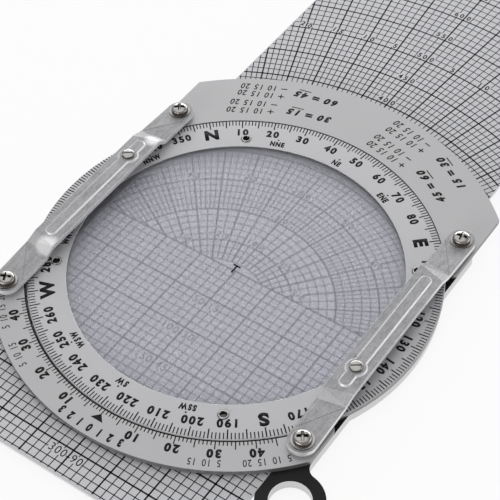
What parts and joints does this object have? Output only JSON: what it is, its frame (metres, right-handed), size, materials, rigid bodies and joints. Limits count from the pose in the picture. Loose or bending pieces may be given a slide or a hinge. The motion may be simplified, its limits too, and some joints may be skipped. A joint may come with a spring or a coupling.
{
  "type": "flight computer",
  "caption": "Slide type flight computer: a printed slide runs under a turning azimuth disc with a frosted window, held by pressed arms, with a round calculator disc on the back.",
  "frame": {"origin": "on the common axis of the azimuth disc and the calculator disc, at the back face the object lies on", "axes": "+Z out of the wind side, along the disc axis; +Y along the slide, towards the end with the formula plate; +X to the right of the wind side, the side with the ring tab"},
  "size_m": [0.1325, 0.258, 0.0127],
  "materials": {
    "black_plate": "black face, bare edges",
    "grey_plate": "matt anodised",
    "slide_sheet": "matt anodised, printed",
    "spring_steel": "satin",
    "disc_ring": "matt anodised, printed",
    "frosted_window": "frosted",
    "bright_metal": "nickel plated",
    "arm_sheet": "bare, brushed",
    "plain_steel": "satin",
    "fibre": "matt"
  },
  "bodies": {
    "frame": {"base_plate": "black_plate", "formula_plate": "grey_plate", "index_plate": "grey_plate", "slide_spring": "spring_steel", "right_arm": "arm_sheet", "left_arm": "arm_sheet", "arm_spacers": "plain_steel", "arm_washers": "plain_steel", "arm_screws": "bright_metal", "drag_springs": "spring_steel", "drag_screws": "bright_metal", "drag_nuts": "plain_steel", "centre_rivet": "bright_metal", "spring_washer": "spring_steel", "fibre_washer": "fibre"},
    "slide": {"slide_card": "slide_sheet"},
    "azimuth_disc": {"azimuth_ring": "disc_ring", "azimuth_window": "frosted_window", "window_eyelets": "bright_metal"},
    "calculator": {"calculator_disc": "disc_ring"}
  },
  "joints": [
    {"name": "slide_travel", "type": "slide", "parent": "frame", "child": "slide", "axis": [0, 1, 0], "range_m": [-0.14, 0.078]},
    {"name": "azimuth_turn", "type": "hinge", "parent": "frame", "child": "azimuth_disc", "pos_m": [0, 0, 0.005], "axis": [0, 0, 1], "continuous": true},
    {"name": "calculator_turn", "type": "hinge", "parent": "frame", "child": "calculator", "pos_m": [0, 0, 0.0006], "axis": [0, 0, 1], "continuous": true}
  ]
}
